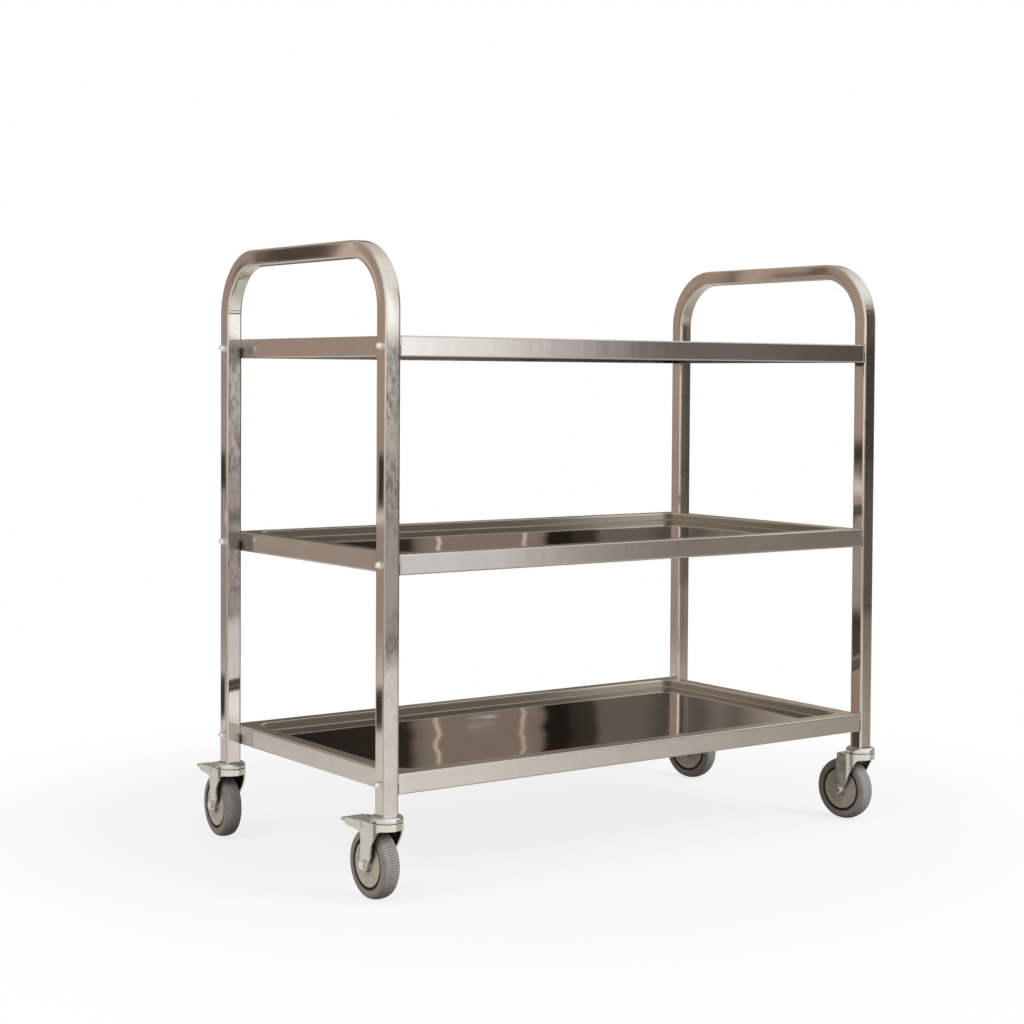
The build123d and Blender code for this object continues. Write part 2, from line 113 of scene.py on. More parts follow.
class NodeGraph:
    """A shader node tree that is filled step by step."""

    def __init__(self, tree: bpy.types.NodeTree) -> None:
        """Empty the tree and keep it.

        Args:
            tree: Node tree of a material or of the world.
        """
        self.tree = tree
        tree.nodes.clear()

    def node(self, kind: str, **settings: object) -> bpy.types.Node:
        """Add one node.

        Args:
            kind: Type name of the node.
            settings: Properties of the node.

        Returns:
            The new node.
        """
        made = self.tree.nodes.new(kind)
        for name, value in settings.items():
            setattr(made, name, value)
        return made

    def feed(self, socket: Socket, value: Feed) -> None:
        """Link a socket to another one, or set its own value.

        Args:
            socket: Input to fill.
            value: Output to link, or a plain value.
        """
        if isinstance(value, bpy.types.NodeSocket):
            self.tree.links.new(value, socket)
        else:
            socket.default_value = value

    def paint(self, socket: Socket, colour: Feed) -> None:
        """Fill a colour socket from another one, or with a plain opaque colour."""
        linked = isinstance(colour, bpy.types.NodeSocket)
        self.feed(socket, colour if linked else (*colour, 1.0))

    def place(self) -> Socket:
        """Object coordinates, which are the part's own frame."""
        return self.node("ShaderNodeTexCoord").outputs["Object"]

    def normal(self) -> Tuple[Socket, Socket, Socket]:
        """The three parts of the surface's normal."""
        return self.split(self.node("ShaderNodeNewGeometry").outputs["Normal"])

    def attribute(self, name: str) -> Socket:
        """Number that is stored on the points of the piece."""
        return self.node("ShaderNodeAttribute", attribute_name=name).outputs["Fac"]

    def math(self, operation: str, first: Feed, second: Feed = 0.0, third: Feed = 0.0) -> Socket:
        """Add a Math node.

        Args:
            operation: Name of the operation.
            first: First value.
            second: Second value.
            third: Third value, where the operation has one.

        Returns:
            The result.
        """
        made = self.node("ShaderNodeMath", operation=operation)
        for socket, value in zip(made.inputs, (first, second, third)):
            self.feed(socket, value)
        return made.outputs[0]

    def plus(self, first: Feed, second: Feed) -> Socket:
        """Sum of two values."""
        return self.math("ADD", first, second)

    def minus(self, first: Feed, second: Feed) -> Socket:
        """First value less the second."""
        return self.math("SUBTRACT", first, second)

    def times(self, first: Feed, second: Feed) -> Socket:
        """Product of two values."""
        return self.math("MULTIPLY", first, second)

    def times_plus(self, first: Feed, second: Feed, third: Feed) -> Socket:
        """Product of two values, with a third one added."""
        return self.math("MULTIPLY_ADD", first, second, third)

    def vector(self, operation: str, first: Feed, second: Feed = (0.0, 0.0, 0.0)) -> Socket:
        """Add a Vector Math node.

        Args:
            operation: Name of the operation.
            first: First vector.
            second: Second vector.

        Returns:
            The resulting vector.
        """
        made = self.node("ShaderNodeVectorMath", operation=operation)
        self.feed(made.inputs[0], first)
        self.feed(made.inputs[1], second)
        return made.outputs["Vector"]

    def length(self, value: Feed) -> Socket:
        """Length of a vector."""
        made = self.node("ShaderNodeVectorMath", operation="LENGTH")
        self.feed(made.inputs[0], value)
        return made.outputs["Value"]

    def split(self, value: Feed) -> Tuple[Socket, Socket, Socket]:
        """The three parts of a vector."""
        made = self.node("ShaderNodeSeparateXYZ")
        self.feed(made.inputs[0], value)
        return tuple(made.outputs)

    def join(self, x: Feed, y: Feed, z: Feed) -> Socket:
        """A vector from three values."""
        made = self.node("ShaderNodeCombineXYZ")
        for socket, value in zip(made.inputs, (x, y, z)):
            self.feed(socket, value)
        return made.outputs[0]

    def noise(self, place: Feed, grain: Grain) -> Socket:
        """Soft noise from 0 to 1.

        Args:
            place: Coordinates.
            grain: Settings of the noise.

        Returns:
            The noise value.
        """
        made = self.node("ShaderNodeTexNoise")
        self.feed(made.inputs["Vector"], place)
        made.inputs["Scale"].default_value = grain.rate
        made.inputs["Detail"].default_value = grain.layers
        made.inputs["Roughness"].default_value = grain.rough
        return made.outputs["Fac"]

    def spread(self, value: Feed, low: float, high: float, to_low: float = 0.0, to_high: float = 1.0,
               smooth: bool = False) -> Socket:
        """Map a range of values to another one, held at its ends.

        Args:
            value: Value to map.
            low: Value that becomes to_low.
            high: Value that becomes to_high.
            to_low: Result at the low end.
            to_high: Result at the high end.
            smooth: Ease in and out instead of a straight line.

        Returns:
            The mapped value.
        """
        made = self.node("ShaderNodeMapRange", interpolation_type="SMOOTHSTEP" if smooth else "LINEAR")
        for name, given in (("Value", value), ("From Min", low), ("From Max", high),
                            ("To Min", to_low), ("To Max", to_high)):
            self.feed(made.inputs[name], given)
        return made.outputs[0]

    def even(self, noise: Socket, to_low: float = 0.0, to_high: float = 1.0) -> Socket:
        """Map the range in which most of a noise lies to another one."""
        return self.spread(noise, *NOISE_SPAN, to_low, to_high)

    def blend(self, share: Feed, first: Feed, second: Feed) -> Socket:
        """Mix two colours.

        Args:
            share: Share of the second colour.
            first: First colour.
            second: Second colour.

        Returns:
            The mixed colour.
        """
        made = self.node("ShaderNodeMix", data_type="RGBA")
        self.feed(made.inputs[0], share)
        for index, colour in zip(MIX_COLOURS, (first, second)):
            self.paint(made.inputs[index], colour)
        return made.outputs[MIX_RESULT]

    def ramp(self, value: Feed, stops: Sequence[Tuple[float, Colour]]) -> Socket:
        """Colour ramp.

        Args:
            value: Place on the ramp, from 0 to 1.
            stops: Places and colours in rising order.

        Returns:
            The colour.
        """
        made = self.node("ShaderNodeValToRGB")
        elements = made.color_ramp.elements
        for element, (position, colour) in zip(elements, (stops[0], stops[-1])):
            element.position = position
            element.color = (*colour, 1.0)
        for position, colour in stops[1:-1]:
            elements.new(position).color = (*colour, 1.0)
        self.feed(made.inputs[0], value)
        return made.outputs[0]

    def open_share(self, reach: float) -> Socket:
        """Share of open space around a spot, lower in hollows, within a reach in metres."""
        made = self.node("ShaderNodeAmbientOcclusion", samples=OPEN_SAMPLES)
        made.inputs["Distance"].default_value = reach
        return made.outputs["AO"]

    def relief(self, height: Socket) -> Socket:
        """Bumped normal from a height in metres."""
        made = self.node("ShaderNodeBump")
        made.inputs["Strength"].default_value = 1.0
        made.inputs["Distance"].default_value = 1.0
        self.feed(made.inputs["Height"], height)
        return made.outputs[0]

    def shader(self, kind: str, colour: Feed, strength: float = 1.0) -> Socket:
        """Add a plain shader.

        Args:
            kind: Type name of its node.
            colour: Its colour.
            strength: Its strength, where it gives light.

        Returns:
            The shader.
        """
        made = self.node(kind)
        self.paint(made.inputs["Color"], colour)
        if "Strength" in made.inputs:
            made.inputs["Strength"].default_value = strength
        return made.outputs[0]

    def mix(self, share: Feed, first: Socket, second: Socket) -> Socket:
        """Mix two shaders by the share of the second."""
        made = self.node("ShaderNodeMixShader")
        for socket, value in zip(made.inputs, (share, first, second)):
            self.feed(socket, value)
        return made.outputs[0]

    def show(self, surface: Socket, output: str = "ShaderNodeOutputMaterial") -> None:
        """Link a shader to the output of the tree."""
        self.feed(self.node(output).inputs["Surface"], surface)


def new_material(name: str) -> Tuple[bpy.types.Material, NodeGraph]:
    """Make a material with an empty node tree."""
    made = bpy.data.materials.new(name)
    made.use_nodes = True
    return made, NodeGraph(made.node_tree)


@dataclass(frozen=True)
class Finish:
    """A surface finish that makes its own material once."""

    name: str

    def material(self) -> bpy.types.Material:
        """Make the material, or return the one already made.

        Returns:
            The material.
        """
        label = "finish_" + self.name
        made = bpy.data.materials.get(label)
        if made is None:
            made, graph = new_material(label)
            shader = graph.node("ShaderNodeBsdfPrincipled")
            graph.show(shader.outputs[0])
            for name, value in self.sockets(graph).items():
                graph.feed(shader.inputs[name], value)
        return made

    def sockets(self, graph: NodeGraph) -> Dict[str, Feed]:
        """Lay out the finish.

        Args:
            graph: Node tree of the material.

        Returns:
            Values of the shader's sockets.
        """
        raise NotImplementedError


@dataclass(frozen=True)
class TubePolish(Finish):
    """Mirror-polished square tube: crowned faces, polish lines along its bends, haze, dents by the nuts."""

    centre: Tuple[float, float]
    post_x: float
    post_y: float
    bar_z: float
    bend: float
    nut_heights: Tuple[float, ...]
    bright: Colour = (0.70, 0.675, 0.65)
    dull: Colour = (0.60, 0.57, 0.54)
    crown: float = 0.8
    flat_half: float = 9.3 * MM
    corner_roll: float = 110.0
    lines: Grain = Grain(1500.0, 3.0, 0.6, stretch=0.004, depth=0.0015 * MM)
    line_share: float = 0.3
    streaks: Grain = Grain(160.0, stretch=0.03, depth=0.02 * MM)
    clouds: Grain = Grain(14.0, 3.0, 0.6)
    cloud_share: float = 0.7
    waves: Grain = Grain(8.0, 1.0, depth=0.25 * MM)
    dent: float = 0.12 * MM
    dent_span: Span = (3.2 * MM, 16.0 * MM)
    dent_squash: float = 0.7
    gloss: float = 0.015
    gloss_change: float = 0.03
    haze: Colour = (0.18, 0.163, 0.147)
    haze_rough: float = 0.12
    haze_span: Span = (350.0 * MM, 800.0 * MM)
    haze_edges: Span = (12.0 * MM, 15.0 * MM)
    haze_ragged: float = 80.0 * MM
    haze_facing: Span = (0.75, 0.95)
    haze_share: float = 0.63
    mottle: Grain = Grain(150.0, 4.0, 0.65, stretch=0.45)
    mottle_span: Span = (0.38, 0.68)
    mottle_share: float = 0.33
    patches: Grain = Grain(9.0)
    patch_span: Span = (0.38, 0.62)
    stray_share: float = 0.2

    def sockets(self, graph: NodeGraph) -> Dict[str, Feed]:
        """Lay out the finish.

        Args:
            graph: Node tree of the material.

        Returns:
            Values of the shader's sockets.
        """
        middle = graph.vector("SUBTRACT", graph.place(), (*self.centre, 0.0))
        x, y, z = graph.split(graph.vector("ABSOLUTE", middle))
        across = graph.minus(x, self.post_x)
        corner = (0.0, self.post_y - self.bend, self.bar_z - self.bend)
        beyond = graph.vector("SUBTRACT", graph.join(0.0, y, z), corner)
        aside = graph.minus(graph.length(graph.vector("MAXIMUM", beyond)), self.bend)
        along = graph.minus(z, y)
        lines, streaks = (graph.noise(graph.join(across, aside, graph.times(along, grain.stretch)), grain)
                          for grain in (self.lines, self.streaks))
        clouds = graph.noise(middle, self.clouds)
        waves = graph.noise(middle, self.waves)
        square = graph.plus(graph.times(across, across), graph.times(aside, aside))
        height = graph.times(square, -self.crown)
        for offset in (across, aside):
            over = graph.minus(graph.math("ABSOLUTE", offset), self.flat_half)
            over = graph.math("MAXIMUM", over, 0.0)
            height = graph.times_plus(graph.times(over, over), -self.corner_roll, height)
        for noise, grain in ((waves, self.waves), (streaks, self.streaks), (lines, self.lines)):
            height = graph.times_plus(noise, grain.depth, height)
        off_post = graph.minus(y, self.post_y)
        for level in self.nut_heights:
            rise = graph.times(graph.minus(z, level), self.dent_squash)
            away = graph.length(graph.join(0.0, off_post, rise))
            pressed = graph.spread(away, *self.dent_span, -self.dent, 0.0, smooth=True)
            height = graph.plus(height, pressed)
        tone = graph.times_plus(clouds, self.cloud_share, graph.times(lines, self.line_share))
        steel = graph.blend(graph.even(tone), self.dull, self.bright)
        haze = self.hazy_share(graph, middle)
        rough = graph.times_plus(clouds, self.gloss_change, graph.times(lines, self.gloss_change))
        rough = graph.times_plus(haze, self.haze_rough, rough)
        return {"Base Color": graph.blend(haze, steel, self.haze), "Metallic": 1.0,
                "Roughness": graph.plus(rough, self.gloss), "Normal": graph.relief(height)}

    def hazy_share(self, graph: NodeGraph, middle: Socket) -> Socket:
        """Mottled haze on the front and rear faces of the posts.

        Args:
            graph: Node tree of the material.
            middle: Place from the middle of the trolley.

        Returns:
            Share of haze, from 0 to 1.
        """
        x, y, z = graph.split(middle)
        facing = graph.spread(graph.math("ABSOLUTE", graph.normal()[1]), *self.haze_facing)
        mottle = graph.noise(graph.join(x, y, graph.times(z, self.mottle.stretch)), self.mottle)
        patches = graph.noise(middle, self.patches)
        ragged = graph.times_plus(patches, self.haze_ragged, graph.minus(z, self.haze_ragged / 2))
        (low, high), (low_edge, high_edge) = self.haze_span, self.haze_edges
        foot = graph.spread(ragged, low - low_edge, low + low_edge)
        head = graph.spread(ragged, high + high_edge, high - high_edge)
        spots = graph.times(
            graph.spread(mottle, *self.mottle_span), graph.spread(patches, *self.patch_span))
        cover = graph.times_plus(spots, self.mottle_share, self.haze_share)
        sheet = graph.times(graph.times(foot, head), cover)
        return graph.times(graph.times_plus(spots, self.stray_share, sheet), facing)


@dataclass(frozen=True)
class TrayPolish(Finish):
    """Pressed tray sheet: a wavy mirror on the floor, satin on rim and turned-down edges, rougher below
    with painted shade there, a painted dark reflection on the pan walls and a painted warm reflection on
    the rim.
    """

    rim_z: float
    pan_depth: float = 12.0 * MM
    floor_depths: Span = (0.6, 0.95)
    below_depths: Span = (1.05, 1.25)
    level: Span = (0.75, 0.97)
    not_upright: Span = (0.75, 0.95)
    upward: Span = (0.2, 0.9)
    downward: Span = (-0.6, -0.9)
    bright: Colour = (0.69, 0.68, 0.665)
    dull: Colour = (0.59, 0.578, 0.56)
    satin: float = 0.06
    gloss: float = 0.015
    gloss_change: float = 0.03
    # painted shade: darker colour on the downward faces, standing for the shade under the tray
    painted_underside_shade: Colour = (0.42, 0.40, 0.375)
    under_rough: float = 0.35
    # painted shade: near-black colour below the pan, where little open space is around
    painted_shade_below: Colour = (0.05, 0.042, 0.034)
    shade_below_reach: float = 60.0 * MM
    shade_below_span: Span = (0.8, 0.5)
    # painted dark reflection: darker warm tone on the pan walls, standing for the shaded tray above that
    # they mirror
    wall: Colour = (0.33, 0.295, 0.24)
    wall_satin: float = 0.22
    wall_scatter: float = 0.2
    wall_foot: Span = (0.15 * MM, 0.8 * MM)
    wall_head: Span = (0.3 * MM, 3.5 * MM)
    wall_facing: Span = (0.1, 0.4)
    # painted reflection: warm tint on the flat rim, standing for the warm room it mirrors
    rim: Colour = (0.68, 0.615, 0.52)
    rim_satin: float = 0.14
    rim_scatter: float = 0.2
    rim_depths: Span = (1.5 * MM, 0.5 * MM)
    waves: Grain = Grain(5.5, 0.6, stretch=1.4, depth=0.8 * MM)
    ripples: Grain = Grain(8.0, 1.0, depth=0.05 * MM)
    brush: Grain = Grain(2200.0, 3.0, 0.65, stretch=0.006, depth=0.004 * MM)
    brush_turn: float = 0.01
    brush_share: float = 0.35
    brush_satin: float = 0.08
    bands: Grain = Grain(26.0, stretch=0.1, depth=0.12 * MM)
    scratches: Grain = Grain(900.0, 2.0, 0.6, stretch=0.01)
    clouds: Grain = Grain(9.0, 4.0, 0.6)
    cloud_share: float = 0.65

    def depths(self, shares: Span) -> Span:
        """Heights at two shares of the pan's depth."""
        return self.rim_z - shares[0] * self.pan_depth, self.rim_z - shares[1] * self.pan_depth

    def sockets(self, graph: NodeGraph) -> Dict[str, Feed]:
        """Lay out the finish.

        Args:
            graph: Node tree of the material.

        Returns:
            Values of the shader's sockets.
        """
        place = graph.place()
        x, y, z = graph.split(place)
        facing = graph.normal()[2]
        level = graph.spread(facing, *self.level)
        downward = graph.spread(facing, *self.downward)
        floor = graph.times(graph.spread(z, *self.depths(self.floor_depths)), level)
        around = graph.plus(x, y)
        run = graph.times(around, self.brush.stretch)
        brushed = graph.noise(graph.join(run, graph.times(facing, self.brush_turn), z), self.brush)
        bands = graph.noise(graph.join(around, 0.0, graph.times(z, self.bands.stretch)), self.bands)
        scratches, waves = (graph.noise(graph.join(x, graph.times(y, grain.stretch), z), grain)
                            for grain in (self.scratches, self.waves))
        clouds = graph.noise(place, self.clouds)
        ripples = graph.noise(place, self.ripples)
        sides = graph.minus(1.0, graph.spread(facing, *self.not_upright))
        swell = graph.times_plus(ripples, self.ripples.depth, graph.times(waves, self.waves.depth))
        height = graph.times(swell, floor)
        for noise, grain in ((brushed, self.brush), (bands, self.bands)):
            height = graph.times_plus(graph.times(noise, sides), grain.depth, height)

        floor_z = self.rim_z - self.pan_depth
        foot = graph.spread(z, *(floor_z + rise for rise in self.wall_foot))
        head = graph.spread(z, *(self.rim_z - depth for depth in self.wall_head))
        slope = graph.times(graph.times(foot, head), graph.spread(facing, *self.wall_facing))
        flat = graph.times(graph.spread(z, *(self.rim_z - depth for depth in self.rim_depths)), level)
        tone = graph.times_plus(brushed, self.brush_share, graph.times(clouds, self.cloud_share))
        colour = graph.blend(graph.even(tone), self.dull, self.bright)
        # painted shade on the downward faces
        colour = graph.blend(downward, colour, self.painted_underside_shade)
        # painted dark reflection on the pan walls and painted warm reflection on the flat rim
        colour = graph.blend(slope, graph.blend(flat, colour, self.rim), self.wall)
        # painted shade below the pan, darker where little open space lies within the reach
        shade = graph.spread(graph.open_share(self.shade_below_reach), *self.shade_below_span)
        painted_shade_below = graph.times(graph.spread(z, *self.depths(self.below_depths)), shade)

        polished = graph.times_plus(scratches, self.gloss_change, self.gloss)
        polished = graph.times_plus(clouds, self.gloss_change, polished)
        satin = graph.times_plus(graph.spread(facing, *self.upward), self.rim_satin, self.satin)
        satin = graph.times_plus(brushed, self.brush_satin, satin)
        satin = graph.times_plus(slope, self.wall_satin, satin)
        rough = graph.times_plus(graph.minus(polished, satin), floor, satin)
        metal = graph.times_plus(slope, -self.wall_scatter, 1.0)
        return {"Base Color": graph.blend(painted_shade_below, colour, self.painted_shade_below),
                "Metallic": graph.times_plus(flat, -self.rim_scatter, metal),
                "Roughness": graph.times_plus(downward, self.under_rough, rough),
                "Normal": graph.relief(height)}


@dataclass(frozen=True)
class PlatedSteel(Finish):
    """Plated steel hardware with faint mottling, a few rubbed spots and, where a hollow reach is set,
    painted shade in its hollows.
    """

    bright: Colour = (0.70, 0.70, 0.68)
    dull: Colour = (0.55, 0.55, 0.53)
    tone_span: Span = (0.35, 0.65)
    roughness: float = 0.25
    variation: float = 0.12
    spangle: Grain = Grain(260.0, 3.0, 0.6)
    rubbing: Grain = Grain(45.0, 3.0, 0.6)
    rubbed_share: float = 0.5
    dent: float = 0.02 * MM
    metal: float = 1.0
    # painted shade: near-black colour laid into hollows, where little open space is around
    painted_hollow_shade: Colour = (0.03, 0.028, 0.024)
    hollow: float = 0.0
    hollow_span: Span = (0.62, 0.22)

    def sockets(self, graph: NodeGraph) -> Dict[str, Feed]:
        """Lay out the finish.

        Args:
            graph: Node tree of the material.

        Returns:
            Values of the shader's sockets.
        """
        place = graph.place()
        mottle = graph.noise(place, self.spangle)
        rubbed = graph.noise(place, self.rubbing)
        tone = graph.times_plus(mottle, 1.0 - self.rubbed_share, graph.times(rubbed, self.rubbed_share))
        colour = graph.blend(graph.spread(tone, *self.tone_span), self.dull, self.bright)
        # painted shade: darker in hollows, by the share of open space within the hollow reach
        if self.hollow:
            shade = graph.spread(graph.open_share(self.hollow), *self.hollow_span)
            colour = graph.blend(shade, colour, self.painted_hollow_shade)
        half = self.variation / 2
        return {"Base Color": colour, "Metallic": self.metal,
                "Roughness": graph.even(rubbed, self.roughness - half, self.roughness + half),
                "Normal": graph.relief(graph.times(mottle, self.dent))}


@dataclass(frozen=True)
class Moulded(Finish):
    """Moulded plastic or rubber with a fine skin and dusty patches."""

    fresh: Colour = (0.05, 0.05, 0.05)
    dusty: Colour = (0.08, 0.08, 0.08)
    dust: Grain = Grain(60.0, 4.0, 0.6)
    roughness: float = 0.55
    variation: float = 0.16
    specular: float = 0.35
    skin: Grain = Grain(1400.0)
    skin_depth: float = 0.03 * MM

    def sockets(self, graph: NodeGraph) -> Dict[str, Feed]:
        """Lay out the finish.

        Args:
            graph: Node tree of the material.

        Returns:
            Values of the shader's sockets.
        """
        place = graph.place()
        dust = graph.noise(place, self.dust)
        skin = graph.noise(place, self.skin)
        half = self.variation / 2
        return {"Base Color": self.tone(graph, graph.even(dust)), "Specular IOR Level": self.specular,
                "Roughness": graph.even(dust, self.roughness - half, self.roughness + half),
                "Normal": graph.relief(graph.times(skin, self.skin_depth))}

    def tone(self, graph: NodeGraph, dust: Socket) -> Socket:
        """Colour of the surface by its share of dust."""
        return graph.blend(dust, self.fresh, self.dusty)


@dataclass(frozen=True)
class WheelMoulding(Moulded):
    """Moulded wheel material with a dark ring where tyre and hub meet, pale ribs on a grey tread, and
    painted shade where the trolley shelters it.
    """

    # dark colour of the ring and of the painted shade
    dark: Colour = (0.03, 0.024, 0.019)
    dark_span: Span = (33.0 * MM, 36.0 * MM)
    dark_edge: float = 0.4 * MM
    rib_tone: Colour = (0.50, 0.475, 0.45)
    tread: Colour = (0.21, 0.195, 0.18)
    tread_span: Span = (48.9 * MM, 50.2 * MM)
    # painted shade: darker where little open space lies within this reach, as under the trays
    shaded_reach: float = 500.0 * MM
    shaded_span: Span = (0.34, 0.1)
    shaded_share: float = 0.9

    def tone(self, graph: NodeGraph, dust: Socket) -> Socket:
        """Colour of the surface.

        Args:
            graph: Node tree of the material.
            dust: Share of dust.

        Returns:
            The colour.
        """
        base = graph.blend(dust, self.fresh, self.dusty)
        radius = graph.attribute("axle_radius")
        base = graph.blend(graph.spread(radius, *self.tread_span), base, self.tread)
        base = graph.blend(graph.attribute("rib"), base, self.rib_tone)
        (inner, outer), edge = self.dark_span, self.dark_edge
        ring = graph.times(graph.spread(radius, inner - edge, inner + edge),
                           graph.spread(radius, outer + edge, outer - edge))
        # painted shade by the share of open space around, put into the same dark colour as the ring
        shade = graph.spread(graph.open_share(self.shaded_reach), *self.shaded_span, 0.0, self.shaded_share)
        return graph.blend(graph.math("MAXIMUM", ring, shade), base, self.dark)


def deselect_all() -> None:
    """Leave nothing selected, so that operators act only on what comes next."""
    bpy.ops.object.select_all(action="DESELECT")


def edit_all() -> None:
    """Edit the active piece with all its points selected."""
    bpy.ops.object.mode_set(mode="EDIT")
    bpy.ops.mesh.select_all(action="SELECT")


def end_edit() -> None:
    """Go back from edit mode."""
    bpy.ops.object.mode_set(mode="OBJECT")


def smooth_shade(piece: bpy.types.Object) -> None:
    """Shade a piece smooth, apart from its sharp edges."""
    deselect_all()
    piece.select_set(True)
    bpy.context.view_layer.objects.active = piece
    bpy.ops.object.shade_smooth_by_angle(angle=SMOOTH_ANGLE)


def dress_node(name: str, finish: Finish) -> None:
    """Give a CAD node its finish.

    Args:
        name: Name of the node.
        finish: Finish to put on it.
    """
    node = frame["nodes"][name]
    node.data.materials.clear()
    node.data.materials.append(finish.material())
    LOG.info("%s: %s", name, finish.name)


def spun_profile(name: str, profile: Sequence[Tuple[float, float]], steps: int) -> bpy.types.Object:
    """Draw a closed section by extruding one vertex, then spin it once around the X axis.

    Args:
        name: Name of the piece.
        profile: Places along the axis and radii, in order around the section.
        steps: Segments of the full turn.

    Returns:
        The piece, around the origin.
    """
    deselect_all()
    bpy.ops.mesh.primitive_plane_add(size=MM)
    piece = bpy.context.object
    piece.name = piece.data.name = name
    edit_all()
    bpy.ops.mesh.merge(type="CENTER")
    bpy.ops.transform.translate(value=(profile[0][0], 0.0, profile[0][1]))
    for here, there in zip(profile, [*profile[1:], profile[0]]):
        step = (there[0] - here[0], 0.0, there[1] - here[1])
        bpy.ops.mesh.extrude_vertices_move(TRANSFORM_OT_translate={"value": step})
    bpy.ops.mesh.select_all(action="SELECT")
    bpy.ops.mesh.remove_doubles(threshold=MERGE_REACH)
    bpy.ops.mesh.spin(steps=steps, angle=FULL_TURN, center=(0.0, 0.0, 0.0), axis=(1.0, 0.0, 0.0))
    bpy.ops.mesh.select_all(action="SELECT")
    bpy.ops.mesh.remove_doubles(threshold=MERGE_REACH)
    bpy.ops.mesh.normals_make_consistent(inside=False)
    end_edit()
    return piece


def write_attribute(piece: bpy.types.Object, name: str, values: Sequence[float]) -> None:
    """Store one number per vertex.

    Args:
        piece: Piece to write on.
        name: Name of the attribute.
        values: One number per vertex.
    """
    mesh = piece.data
    made = mesh.attributes.get(name) or mesh.attributes.new(name, "FLOAT", "POINT")
    made.data.foreach_set("value", list(values))


def write_radius(piece: bpy.types.Object) -> None:
    """Store each vertex's distance from the X axis."""
    write_attribute(piece, "axle_radius", [math.hypot(v.co.y, v.co.z) for v in piece.data.vertices])


@dataclass
class EndFrames:
    """The two bent square-tube end frames."""

    tube: float = 25.0 * MM
    bend: float = 87.5 * MM
    centre: Tuple[float, float] = field(init=False)
    finish: Finish = field(init=False)

    def build(self) -> None:
        """Read the frames' places, which the polish follows."""
        left_low, left_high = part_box("left_end_frame")
        right_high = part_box("right_end_frame")[1]
        self.centre = ((left_low.x + right_high.x) / 2, (left_low.y + left_high.y) / 2)
        nuts = [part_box(tier.value + "_tray_nuts") for tier in Tier]
        self.finish = TubePolish(
            "polished_tube", centre=self.centre, post_x=(right_high.x - left_low.x - self.tube) / 2,
            post_y=(left_high.y - left_low.y - self.tube) / 2, bar_z=left_high.z - self.tube / 2,
            bend=self.bend, nut_heights=tuple((low.z + high.z) / 2 for low, high in nuts))

    def dress(self) -> None:
        """Polish both frames."""
        for end in End:
            dress_node(end.value + "_end_frame", self.finish)


@dataclass
class Trays:
    """The three pressed trays with the bolts and nuts that hold them."""

    bolts: Finish = PlatedSteel(
        "bolt_steel", bright=(0.80, 0.79, 0.77), dull=(0.62, 0.61, 0.59), roughness=0.2)
    nuts: Finish = PlatedSteel(
        "nut_steel", bright=(0.92, 0.91, 0.88), dull=(0.80, 0.79, 0.76), roughness=0.16)

    def dress(self) -> None:
        """Finish trays, bolts and nuts."""
        for tier in Tier:
            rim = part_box(tier.value + "_tray")[1].z
            dress_node(tier.value + "_tray", TrayPolish("polished_" + tier.value + "_tray", rim_z=rim))
            dress_node(tier.value + "_tray_bolts", self.bolts)
            dress_node(tier.value + "_tray_nuts", self.nuts)


